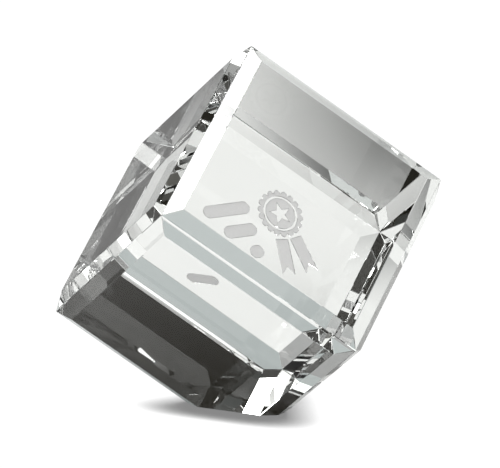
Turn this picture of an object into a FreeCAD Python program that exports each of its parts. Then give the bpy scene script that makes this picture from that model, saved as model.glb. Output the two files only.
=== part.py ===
import FreeCAD, Part
import math
import os

from FreeCAD import Vector

# Clear optical-crystal award: one solid block with the outline of a cube that
# stands on a cut-off corner, with its long diagonal upright.
#
# Every face of the cube has a raised square table, joined to the sharp cube
# edges by four long sloping facets. The marks are shallow etched pockets, each
# with a thin frosted layer on its floor.
#
# Frame: origin at the centre of the base facet, +Z up along the long diagonal,
# -Y towards the face with the rosette, X across the award.
# The cube's own axes are u (front left to front right, going down), v (down
# the front to the edge shared by the two front faces) and w (front to back).

# Driving dimensions, in millimetres
TABLE_TO_TABLE = 80.0      # across two opposite tables
TABLE_INSET = 7.4          # a table's edge, in from the outer plane of the next face
EDGE_DROP = 2.6            # the sharp cube edges, below the planes of the tables
BASE_CUT = 13.1            # length of long diagonal removed to make the base facet

POCKET_DEPTH = 0.5         # depth of every etched pocket
FROST_THICKNESS = 0.3      # thickness of the frosted layer on a pocket's floor
TOOL_OVERRUN = 2.0         # how far a cutting tool stands out of the glass

BAR_HEIGHT = 4.2           # height of each etched bar
BAR_RIGHT_END = -22.4      # where the front face's bars are lined up on the right
FRONT_BARS = [             # middle height on the front table, length
    (-1.9, 17.0),
    (-9.4, 12.0),
    (-16.9, 5.0),
]
LOWER_BAR_LEFT = 2.8       # the bar on the lower front table: left end,
LOWER_BAR_MIDDLE = 27.8    # middle height and
LOWER_BAR_LENGTH = 11.0    # length

ROSETTE_X = -12.0          # centre of the rosette on the front table
ROSETTE_Y = -5.4
RIM_RADIUS = 7.0           # middle radius of the rosette's scalloped rim
RIM_LOBE_RADIUS = 1.0      # radius of one lobe of the rim
RIM_LOBES = 18
RIM_INNER_RADIUS = 6.0     # clear gap between the rim and the disc starts here
DISC_RADIUS = 5.2
STAR_OUTER_RADIUS = 3.9    # clear star in the middle of the disc
STAR_INNER_RADIUS = 1.6
STAR_POINTS = 5
TAIL_WIDTH = 4.4           # one ribbon tail
TAIL_TOP = -8.8            # top of a tail, from the rosette's centre
TAIL_LENGTH = 12.0
TAIL_NOTCH = 2.6           # depth of the V cut in the end of a tail
TAIL_GAP = 0.9             # clear gap between the two tails at their tops
TAIL_SPLAY = 8.0           # degrees that each tail swings outwards

# Derived dimensions
OUTER = TABLE_TO_TABLE / 2
TABLE_HALF = OUTER - TABLE_INSET
EDGE_HALF = OUTER - EDGE_DROP
CORNER_TO_CENTRE = EDGE_HALF * math.sqrt(3)
CENTRE_HEIGHT = CORNER_TO_CENTRE - BASE_CUT

U = Vector(1 / math.sqrt(2), -1 / math.sqrt(6), -1 / math.sqrt(3))
V = Vector(-1 / math.sqrt(2), -1 / math.sqrt(6), -1 / math.sqrt(3))
W = Vector(0, 2 / math.sqrt(6), -1 / math.sqrt(3))
CUBE_AXES = (U, V, W)
CENTRE = Vector(0, 0, CENTRE_HEIGHT)


def cube_point(u, v, w):
    """A point given along the cube's own axes, in the award's frame."""
    return CENTRE + U * u + V * v + W * w


def on_face(axis, sign, across, a, b):
    """A point at the given distance out along one cube axis, and a, b along the others."""
    coordinates = [a, b]
    coordinates.insert(axis, sign * across)
    return cube_point(*coordinates)


def polygon_face(points):
    return Part.Face(Part.makePolygon(points + points[:1]))


def cut_faces(axis, sign):
    """One table and the four sloping facets around it."""
    turns = [(-1, -1), (1, -1), (1, 1), (-1, 1)]
    table = [on_face(axis, sign, OUTER, a * TABLE_HALF, b * TABLE_HALF) for a, b in turns]
    edge = [on_face(axis, sign, EDGE_HALF, a * EDGE_HALF, b * EDGE_HALF) for a, b in turns]
    faces = [polygon_face(table)]
    for this in range(len(turns)):
        following = (this + 1) % len(turns)
        faces.append(polygon_face([table[this], table[following], edge[following], edge[this]]))
    return faces


def faceted_cube():
    faces = []
    for axis in range(len(CUBE_AXES)):
        for sign in (-1, 1):
            faces += cut_faces(axis, sign)
    solid = Part.Solid(Part.makeShell(faces))
    if solid.Volume < 0:
        solid.reverse()
    return solid


def below_base():
    """A box that removes the lowest corner, up to the base facet."""
    size = TABLE_TO_TABLE
    return Part.makeBox(size, size, size, Vector(-size / 2, -size / 2, -size))


def face_placement(across, up, outward):
    """Puts a flat drawing, x across and y up, on the table that faces outward."""
    turn = FreeCAD.Rotation(across, up, outward, "ZXY")
    return FreeCAD.Placement(CENTRE + outward * OUTER, turn)


FRONT_TABLE = face_placement((U - V) * math.sqrt(0.5), (U + V) * -math.sqrt(0.5), W * -1)
LOWER_TABLE = face_placement((U - W) * math.sqrt(0.5), (U + W) * -math.sqrt(0.5), V)


def bar_outline(left, middle, length):
    """A flat bar with round ends."""
    radius = BAR_HEIGHT / 2
    start = left + radius
    end = left + length - radius
    top = middle + radius
    bottom = middle - radius
    edges = [
        Part.LineSegment(Vector(start, bottom, 0), Vector(end, bottom, 0)).toShape(),
        Part.Arc(Vector(end, bottom, 0), Vector(end + radius, middle, 0), Vector(end, top, 0)).toShape(),
        Part.LineSegment(Vector(end, top, 0), Vector(start, top, 0)).toShape(),
        Part.Arc(Vector(start, top, 0), Vector(left, middle, 0), Vector(start, bottom, 0)).toShape(),
    ]
    return Part.Face(Part.Wire(edges))


def disc(x, y, radius):
    return Part.Face(Part.Wire(Part.makeCircle(radius, Vector(x, y, 0))))


def rim_outline():
    """The rosette's scalloped ring."""
    lobes = []
    for lobe in range(RIM_LOBES):
        angle = 2 * math.pi * lobe / RIM_LOBES
        x = ROSETTE_X + RIM_RADIUS * math.cos(angle)
        y = ROSETTE_Y + RIM_RADIUS * math.sin(angle)
        lobes.append(disc(x, y, RIM_LOBE_RADIUS))
    whole = disc(ROSETTE_X, ROSETTE_Y, RIM_RADIUS).fuse(lobes)
    ring = whole.cut(disc(ROSETTE_X, ROSETTE_Y, RIM_INNER_RADIUS))
    return ring.removeSplitter()


def star_outline():
    points = []
    for corner in range(2 * STAR_POINTS):
        radius = STAR_INNER_RADIUS if corner % 2 else STAR_OUTER_RADIUS
        angle = math.pi / 2 + math.pi * corner / STAR_POINTS
        points.append(Vector(ROSETTE_X + radius * math.cos(angle), ROSETTE_Y + radius * math.sin(angle), 0))
    return polygon_face(points)


def disc_outline():
    """The rosette's disc, with a clear star in it."""
    return disc(ROSETTE_X, ROSETTE_Y, DISC_RADIUS).cut(star_outline())


def tail_outline(side):
    """One ribbon tail below the rosette, on the left (-1) or on the right (1)."""
    inner = side * TAIL_GAP / 2
    outer = side * (TAIL_GAP / 2 + TAIL_WIDTH)
    middle = (inner + outer) / 2
    points = [
        Vector(inner, TAIL_TOP, 0),
        Vector(outer, TAIL_TOP, 0),
        Vector(outer, TAIL_TOP - TAIL_LENGTH, 0),
        Vector(middle, TAIL_TOP - TAIL_LENGTH + TAIL_NOTCH, 0),
        Vector(inner, TAIL_TOP - TAIL_LENGTH, 0),
    ]
    tail = polygon_face(points)
    tail.rotate(Vector(inner, TAIL_TOP, 0), Vector(0, 0, 1), side * TAIL_SPLAY)
    tail.translate(Vector(ROSETTE_X, ROSETTE_Y, 0))
    return tail


def marks():
    """Every etched mark: its node's name, its flat outline and the table it is on."""
    found = []
    for number, (middle, length) in enumerate(FRONT_BARS, start=1):
        outline = bar_outline(BAR_RIGHT_END - length, middle, length)
        found.append(("etched_bar_%d" % number, outline, FRONT_TABLE))
    lower_bar = bar_outline(LOWER_BAR_LEFT, LOWER_BAR_MIDDLE, LOWER_BAR_LENGTH)
    found.append(("etched_bar_%d" % (len(FRONT_BARS) + 1), lower_bar, LOWER_TABLE))
    found.append(("etched_rosette_rim", rim_outline(), FRONT_TABLE))
    found.append(("etched_rosette_disc", disc_outline(), FRONT_TABLE))
    found.append(("etched_ribbon_tail_left", tail_outline(-1), FRONT_TABLE))
    found.append(("etched_ribbon_tail_right", tail_outline(1), FRONT_TABLE))
    return found


def raised(outline, placement, bottom, height):
    """The outline as a solid on its table, from the given depth up."""
    solid = outline.copy()
    solid.translate(Vector(0, 0, bottom))
    solid = solid.extrude(Vector(0, 0, height))
    solid.Placement = placement.multiply(solid.Placement)
    return solid


def pocket(outline, placement):
    return raised(outline, placement, -POCKET_DEPTH, POCKET_DEPTH + TOOL_OVERRUN)


def frosted_layer(outline, placement):
    return raised(outline, placement, -POCKET_DEPTH, FROST_THICKNESS)


def crystal_block(etched):
    block = faceted_cube().cut(below_base())
    return block.cut([pocket(outline, placement) for _, outline, placement in etched])


def single_solid(shape):
    """The one solid that a boolean result holds."""
    solids = shape.Solids
    if len(solids) != 1 or not solids[0].isValid():
        raise ValueError("expected one valid solid, found %d" % len(solids))
    return solids[0]


def export(name, shape):
    solid = single_solid(shape)
    solid.exportStep("parts/%s.step" % name)
    box = solid.BoundBox
    print("%-26s volume %10.1f mm3  x %.1f..%.1f  y %.1f..%.1f  z %.1f..%.1f" % (
        name, solid.Volume, box.XMin, box.XMax, box.YMin, box.YMax, box.ZMin, box.ZMax))


def main():
    os.makedirs("parts", exist_ok=True)
    etched = marks()
    export("crystal_block", crystal_block(etched))
    for name, outline, placement in etched:
        export(name, frosted_layer(outline, placement))


main()
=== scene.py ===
import math

import bmesh
import bpy
from mathutils import Matrix, Vector


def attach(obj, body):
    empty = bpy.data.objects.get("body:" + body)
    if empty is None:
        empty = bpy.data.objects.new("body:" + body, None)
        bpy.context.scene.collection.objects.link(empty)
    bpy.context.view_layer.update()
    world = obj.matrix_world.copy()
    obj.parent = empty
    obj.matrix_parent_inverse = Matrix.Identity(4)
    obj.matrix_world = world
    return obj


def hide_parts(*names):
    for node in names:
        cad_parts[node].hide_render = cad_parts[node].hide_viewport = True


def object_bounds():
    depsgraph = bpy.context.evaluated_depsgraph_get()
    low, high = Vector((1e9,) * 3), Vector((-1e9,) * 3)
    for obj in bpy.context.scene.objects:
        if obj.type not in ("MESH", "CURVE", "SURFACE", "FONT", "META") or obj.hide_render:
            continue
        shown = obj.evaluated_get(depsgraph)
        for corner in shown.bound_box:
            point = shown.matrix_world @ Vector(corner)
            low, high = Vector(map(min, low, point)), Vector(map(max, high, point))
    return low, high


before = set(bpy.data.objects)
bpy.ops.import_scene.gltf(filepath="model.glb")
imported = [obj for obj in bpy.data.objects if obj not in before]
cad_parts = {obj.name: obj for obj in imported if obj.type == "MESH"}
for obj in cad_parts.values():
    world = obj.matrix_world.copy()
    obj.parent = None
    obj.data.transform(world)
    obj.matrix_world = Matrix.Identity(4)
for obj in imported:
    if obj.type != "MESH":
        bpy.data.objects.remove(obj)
cad_low, cad_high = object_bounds()

# A clear optical-crystal cube award, standing on a cut-off corner, on a white studio
# floor. Lengths are in metres and angles in degrees. Azimuth 0 is the side of -Y,
# and azimuth 90 is the side of +X.

CAMERA_AZIMUTH = -33.80
CAMERA_ELEVATION = 12.58
CAMERA_ROLL = 0.92            # the award leans this much to the right in the picture
CAMERA_DISTANCE = 2.105
CAMERA_LENS = 476.0           # millimetres, as is the width of the sensor
CAMERA_SENSOR = 36.0
CAMERA_NEAREST = 0.1          # nothing nearer than this or farther than the next is shown
CAMERA_FARTHEST = 60.0
CAMERA_RIGHT = 0.00053        # the point looked at, to the right of the cube's centre
CAMERA_UP = 0.0037            # and above it

# The block. Its noise is given in spots per metre.
CRYSTAL_IOR = 1.52
CRYSTAL_TINT = (0.955, 0.975, 0.95, 1)
CRYSTAL_TINT_PALE = (0.97, 0.98, 0.965, 1)
CRYSTAL_NOISE_SCALE = 60.0
CRYSTAL_NOISE_DETAIL = 2.0
CRYSTAL_SMOOTHEST = 0.0       # roughness of the polish, from here
CRYSTAL_ROUGHEST = 0.004      # to here
ARRIS = 0.00012               # how far onto each face the polished bevel of an edge reaches
ON_PLANE = 0.000002           # points closer than this to a plane lie on it
SAME_POINT = 0.000002         # points closer than this to each other are one
SAME_PLANE = 1.0              # degrees between faces that count as one

# The etched marks
FROST_TRANSMISSION = 0.25
FROST_GLOW = 0.22             # stands in for light that the crystal carries to the marks
FROST_DARK = (0.27, 0.27, 0.265, 1)
FROST_LIGHT = (0.42, 0.42, 0.41, 1)
FROST_NOISE_SCALE = 2600.0
FROST_NOISE_DETAIL = 3.0
FROST_SMOOTHEST = 0.45
FROST_ROUGHEST = 0.75

# The cube's half width across its sharp edges is the same in every direction, so the
# block's half width in X and its top give the height of the cube's centre.
CUBE_CENTRE_HEIGHT = cad_high.z - cad_high.x * math.sqrt(1.5)

CEILING_WIDTH = 105.0
CEILING_ELEVATION = 78.0      # it leans towards the camera's side, so the shade falls behind
CEILING_POWER = 4.9

# What stands round the award and shows in it: azimuth, elevation, the angles from its
# middle where its edge starts and ends, radiance and colour.
STUDIO_LIGHTS = [
    (0, 90, 10, 12, 16.0, (1, 1, 1)),               # overhead softbox
    (-79, 30, 10, 12, 2.2, (1, 1, 0.99)),           # left softbox
    (138, 40, 9, 12, 1.1, (1, 1, 0.99)),            # softbox behind, on the right
    (-169, 58, 8, 11, 1.3, (1, 1, 0.99)),           # softbox behind
    (-100, 10, 3, 5, 1.0, (1, 1, 1)),               # small lamp, left
    (-8, 16, 3, 5, 1.4, (1, 1, 1)),                 # small lamp, front
    (-147, 74, 3, 6, 0.6, (0.95, 1, 1)),            # dim panel above and behind
    (-59, 2, 4, 8, 0.35, (1, 1, 1)),                # dim panel, front left
    (59, 3, 4, 8, 0.25, (1, 1, 1)),                 # dim panel, front right
    (120, 5, 38, 70, 0.50, (0.91, 0.99, 1.0)),      # pale wall on the right and behind
    (-150, 20, 30, 80, 0.10, (1.0, 0.99, 0.94)),    # dim wall behind, on the left
]
STUDIO_DARK = (0.0095, 0.0080, 0.0045)  # radiance where none of them stands

# A far strip lamp at the front right, which narrows towards one end. The small white
# spark on the dark lower face is a view of it.
STRIP_START = (46.86, 43.755)           # azimuth and elevation of its wide end
STRIP_END = (46.885, 43.60)             # and of its narrow end
STRIP_START_RADIUS = 0.028
STRIP_END_RADIUS = 0.012
STRIP_PARTS = 8
STRIP_RADIANCE = 2.0

BELOW_HORIZON = (1.0, 1.0, 1.0)         # past the end of the floor
HORIZON_BLEND = 0.01                    # sine of the angle in which one gives way to the other

FLOOR_RADIUS = 14.0
FLOOR_ROUGHNESS = 0.9
# The floor's colour holds painted light: pale near the award and greyer far away, a painted
# pool of light.
FLOOR_NEAR = (0.64, 0.64, 0.635, 1)
FLOOR_FAR = (0.27, 0.27, 0.27, 1)
FLOOR_FADE_START = 0.35       # distance from the award where the painted pool of light starts to grey
FLOOR_FADE_END = 1.2          # and where it is FLOOR_FAR
AIR_UNDER_BASE = 0.0001       # glass that only rests on a table keeps a film of air below it

# The contact shadow is painted: the floor's emission darkens where ambient occlusion finds the
# award close by.
CONTACT_REACH = 0.013         # how far the award's own painted shadow on the floor reaches
CONTACT_AZIMUTH = 130.0       # the side that this shadow's light comes from, which is
CONTACT_ELEVATION = 50.0      # behind the award, so the shadow falls in front of it
CONTACT_CLOSED = 0.35         # share of open sky where that shadow is darkest
CONTACT_OPEN = 0.80           # share of open sky where it ends
CONTACT_DARKEST = 0.25        # how bright the floor is shown in the darkest shadow
CONTACT_LIGHTEST = 1.05       # and outside it
CONTACT_SAMPLES = 16

MOST_BOUNCES = 32             # light crosses the block many times before it leaves
MOST_GLOSSY_BOUNCES = 16


def direction(azimuth, elevation):
    a, e = math.radians(azimuth), math.radians(elevation)
    return Vector((math.sin(a) * math.cos(e), -math.cos(a) * math.cos(e), math.sin(e)))


def chord(angle):
    """The distance between two unit vectors that are this many degrees apart."""
    return 2 * math.sin(math.radians(angle) / 2)


def between(start, end, share):
    return start + (end - start) * share


def add_object(name, data):
    made = bpy.data.objects.new(name, data)
    bpy.context.scene.collection.objects.link(made)
    return made


def new_material(name):
    material = bpy.data.materials.new(name)
    material.use_nodes = True
    tree = material.node_tree
    tree.nodes.clear()
    output = tree.nodes.new("ShaderNodeOutputMaterial")
    shader = tree.nodes.new("ShaderNodeBsdfPrincipled")
    tree.links.new(shader.outputs["BSDF"], output.inputs["Surface"])
    return material, tree, shader


def noise(tree, scale, detail):
    coordinates = tree.nodes.new("ShaderNodeTexCoord")
    node = tree.nodes.new("ShaderNodeTexNoise")
    node.inputs["Scale"].default_value = scale
    node.inputs["Detail"].default_value = detail
    tree.links.new(coordinates.outputs["Object"], node.inputs["Vector"])
    return node.outputs["Fac"]


def map_range(tree, value, limits, results=(0.0, 1.0), interpolation="LINEAR"):
    """The value, taken from between the two limits to between the two results."""
    node = tree.nodes.new("ShaderNodeMapRange")
    node.interpolation_type = interpolation
    node.inputs["From Min"].default_value, node.inputs["From Max"].default_value = limits
    node.inputs["To Min"].default_value, node.inputs["To Max"].default_value = results
    tree.links.new(value, node.inputs["Value"])
    return node.outputs["Result"]


def colour_ramp(tree, factor, low, high):
    node = tree.nodes.new("ShaderNodeValToRGB")
    node.color_ramp.elements[0].color = low
    node.color_ramp.elements[1].color = high
    tree.links.new(factor, node.inputs["Fac"])
    return node.outputs["Color"]


def constant_vector(tree, values):
    node = tree.nodes.new("ShaderNodeCombineXYZ")
    for socket, value in zip(node.inputs, values):
        socket.default_value = value
    return node.outputs["Vector"]


def crystal_material():
    material, tree, shader = new_material("polished_crystal")
    shader.inputs["Transmission Weight"].default_value = 1.0
    shader.inputs["IOR"].default_value = CRYSTAL_IOR
    haze = noise(tree, CRYSTAL_NOISE_SCALE, CRYSTAL_NOISE_DETAIL)
    polish = map_range(tree, haze, (0.0, 1.0), (CRYSTAL_SMOOTHEST, CRYSTAL_ROUGHEST))
    tree.links.new(polish, shader.inputs["Roughness"])
    tint = colour_ramp(tree, haze, CRYSTAL_TINT, CRYSTAL_TINT_PALE)
    tree.links.new(tint, shader.inputs["Base Color"])
    return material


def frost_material():
    material, tree, shader = new_material("etched_frost")
    shader.inputs["Transmission Weight"].default_value = FROST_TRANSMISSION
    shader.inputs["IOR"].default_value = CRYSTAL_IOR
    shader.inputs["Emission Color"].default_value = (1, 1, 1, 1)
    shader.inputs["Emission Strength"].default_value = FROST_GLOW
    grain = noise(tree, FROST_NOISE_SCALE, FROST_NOISE_DETAIL)
    rough = map_range(tree, grain, (0.0, 1.0), (FROST_SMOOTHEST, FROST_ROUGHEST))
    tree.links.new(rough, shader.inputs["Roughness"])
    colour = colour_ramp(tree, grain, FROST_DARK, FROST_LIGHT)
    tree.links.new(colour, shader.inputs["Base Color"])
    return material


def dress(piece, material):
    piece.data.materials.clear()
    piece.data.materials.append(material)


def flat_shaded(node):
    for polygon in node.data.polygons:
        polygon.use_smooth = False


def outer_faces(shape):
    """The faces of the block's outline: those whose plane has the whole block behind it."""
    found = set()
    for face in shape.faces:
        start = face.verts[0].co
        if all((v.co - start).dot(face.normal) < ON_PLANE for v in shape.verts):
            found.add(face)
    return found


def bevel_cut_edges(shape):
    """Puts the narrow polished arris on every edge between two faces of the outline."""
    outer = outer_faces(shape)
    edges = [e for e in shape.edges
             if all(f in outer for f in e.link_faces)
             and e.calc_face_angle() > math.radians(SAME_PLANE)]
    bmesh.ops.bevel(shape, geom=edges, offset=ARRIS, offset_type="OFFSET", segments=1,
                    affect="EDGES", clamp_overlap=True)


def polished_block(node):
    """The crystal block with the narrow polished arris that every cut edge has."""
    mesh = node.data.copy()
    mesh.name = "polished_block"
    shape = bmesh.new()
    shape.from_mesh(mesh)
    bmesh.ops.remove_doubles(shape, verts=shape.verts, dist=SAME_POINT)
    bmesh.ops.dissolve_limit(shape, angle_limit=math.radians(SAME_PLANE), verts=shape.verts,
                             edges=shape.edges)
    shape.normal_update()
    bevel_cut_edges(shape)
    for face in shape.faces:
        face.smooth = False
    shape.to_mesh(mesh)
    shape.free()
    block = add_object("polished_block", mesh)
    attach(block, "root")
    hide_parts("crystal_block")
    return block


def lit_floor(tree, shader):
    """The floor as it is lit, with a painted pool of light in its colour: pale near the award,
    and greyer far away.
    """
    shader.inputs["Roughness"].default_value = FLOOR_ROUGHNESS
    shader.inputs["Specular IOR Level"].default_value = 0.0
    coordinates = tree.nodes.new("ShaderNodeTexCoord")
    away = tree.nodes.new("ShaderNodeVectorMath")
    away.operation = "LENGTH"
    tree.links.new(coordinates.outputs["Object"], away.inputs[0])
    fade = map_range(tree, away.outputs["Value"], (FLOOR_FADE_START, FLOOR_FADE_END),
                     interpolation="SMOOTHSTEP")
    tree.links.new(colour_ramp(tree, fade, FLOOR_NEAR, FLOOR_FAR), shader.inputs["Base Color"])
    return shader.outputs["BSDF"]


def contact_shadow(tree):
    """The floor where it is seen directly: white, with a painted shadow from ambient occlusion
    that is dark only close to the award.
    """
    near = tree.nodes.new("ShaderNodeAmbientOcclusion")
    near.samples = CONTACT_SAMPLES
    near.inputs["Distance"].default_value = CONTACT_REACH
    sky = constant_vector(tree, direction(CONTACT_AZIMUTH, CONTACT_ELEVATION))
    tree.links.new(sky, near.inputs["Normal"])
    shown = map_range(tree, near.outputs["AO"], (CONTACT_CLOSED, CONTACT_OPEN),
                      (CONTACT_DARKEST, CONTACT_LIGHTEST))
    glow = tree.nodes.new("ShaderNodeEmission")
    tree.links.new(shown, glow.inputs["Color"])
    return glow.outputs["Emission"]


def floor_material():
    """Shows the painted contact shadow to the camera, and the floor as it is lit to the glass.
    """
    material, tree, shader = new_material("studio_floor")
    path = tree.nodes.new("ShaderNodeLightPath")
    seen = tree.nodes.new("ShaderNodeMixShader")
    tree.links.new(path.outputs["Is Camera Ray"], seen.inputs["Fac"])
    tree.links.new(lit_floor(tree, shader), seen.inputs[1])
    tree.links.new(contact_shadow(tree), seen.inputs[2])
    output = tree.nodes["Material Output"]
    tree.links.new(seen.outputs["Shader"], output.inputs["Surface"])
    return material


def make_floor():
    mesh = bpy.data.meshes.new("studio_floor")
    half = FLOOR_RADIUS
    mesh.from_pydata([(-half, -half, 0), (half, -half, 0), (half, half, 0), (-half, half, 0)],
                     [], [(0, 1, 2, 3)])
    mesh.materials.append(floor_material())
    floor = add_object("studio_floor", mesh)
    floor.location.z = -AIR_UNDER_BASE


def make_ceiling():
    """One very wide, even light for the floor. The glass itself doesn't show it."""
    data = bpy.data.lights.new("ceiling_light", "SUN")
    data.angle = math.radians(CEILING_WIDTH)
    data.energy = CEILING_POWER
    lamp = add_object("ceiling_light", data)
    lamp.rotation_mode = "QUATERNION"
    towards = direction(CAMERA_AZIMUTH, CEILING_ELEVATION)
    lamp.rotation_quaternion = (-towards).to_track_quat("-Z", "Y")
    lamp.visible_glossy = False
    lamp.visible_transmission = False


def add_light(tree, coordinates, total, light):
    """Adds one soft-edged round light to the studio that the glass shows."""
    azimuth, elevation, inner, outer, radiance, colour = light
    away = tree.nodes.new("ShaderNodeVectorMath")
    away.operation = "DISTANCE"
    away.inputs[1].default_value = direction(azimuth, elevation)
    tree.links.new(coordinates, away.inputs[0])
    edge = map_range(tree, away.outputs["Value"], (chord(outer), chord(inner)),
                     (0.0, radiance), "SMOOTHSTEP")
    lit = tree.nodes.new("ShaderNodeVectorMath")
    lit.operation = "MULTIPLY_ADD"
    lit.inputs[1].default_value = colour
    tree.links.new(edge, lit.inputs[0])
    tree.links.new(total, lit.inputs[2])
    return lit.outputs["Vector"]


def strip_lamp():
    """The far strip lamp as a row of round ones, each like a row of STUDIO_LIGHTS."""
    lamps = []
    for part in range(STRIP_PARTS):
        share = part / (STRIP_PARTS - 1)
        azimuth = between(STRIP_START[0], STRIP_END[0], share)
        elevation = between(STRIP_START[1], STRIP_END[1], share)
        radius = between(STRIP_START_RADIUS, STRIP_END_RADIUS, share)
        lamps.append((azimuth, elevation, 0, radius, STRIP_RADIANCE, (1, 1, 1)))
    return lamps


def above_and_below(tree, coordinates, above):
    """The studio above the horizon, and BELOW_HORIZON below it."""
    split = tree.nodes.new("ShaderNodeSeparateXYZ")
    tree.links.new(coordinates, split.inputs["Vector"])
    share = map_range(tree, split.outputs["Z"], (0.0, -HORIZON_BLEND))
    mix = tree.nodes.new("ShaderNodeMix")
    mix.data_type = "VECTOR"
    tree.links.new(share, mix.inputs["Factor"])
    first, second = [i for i in mix.inputs
                     if i.type == "VECTOR" and i.enabled and i.name in "AB"]
    tree.links.new(above, first)
    second.default_value = BELOW_HORIZON
    return [o for o in mix.outputs if o.type == "VECTOR"][0]


def make_world():
    world = bpy.data.worlds.new("studio")
    bpy.context.scene.world = world
    world.use_nodes = True
    world.cycles_visibility.diffuse = False
    tree = world.node_tree
    coordinates = tree.nodes.new("ShaderNodeTexCoord").outputs["Generated"]
    total = constant_vector(tree, STUDIO_DARK)
    for light in STUDIO_LIGHTS + strip_lamp():
        total = add_light(tree, coordinates, total, light)
    studio = above_and_below(tree, coordinates, total)
    tree.links.new(studio, tree.nodes["Background"].inputs["Color"])


def make_camera():
    data = bpy.data.cameras.new("camera")
    data.sensor_width = CAMERA_SENSOR
    data.lens = CAMERA_LENS
    data.clip_start = CAMERA_NEAREST
    data.clip_end = CAMERA_FARTHEST
    camera = add_object("camera", data)
    back = direction(CAMERA_AZIMUTH, CAMERA_ELEVATION)
    right = Vector((0, 0, 1)).cross(back).normalized()
    up = back.cross(right)
    roll = Matrix.Rotation(math.radians(CAMERA_ROLL), 3, back)
    right, up = roll @ right, roll @ up
    target = Vector((0, 0, CUBE_CENTRE_HEIGHT)) + right * CAMERA_RIGHT + up * CAMERA_UP
    place = Matrix((right, up, back)).transposed().to_4x4()
    place.translation = target + back * CAMERA_DISTANCE
    camera.matrix_world = place
    bpy.context.scene.camera = camera


def set_up_light_paths():
    bpy.context.scene.view_settings.view_transform = "Standard"
    cycles = bpy.context.scene.cycles
    cycles.max_bounces = MOST_BOUNCES
    cycles.transmission_bounces = MOST_BOUNCES
    cycles.glossy_bounces = MOST_GLOSSY_BOUNCES
    cycles.caustics_refractive = False
    cycles.caustics_reflective = False


crystal = crystal_material()
frost = frost_material()
for name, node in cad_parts.items():
    flat_shaded(node)
    dress(node, crystal if name == "crystal_block" else frost)

block = polished_block(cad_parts["crystal_block"])
dress(block, crystal)

make_floor()
make_world()
make_ceiling()
make_camera()
set_up_light_paths()
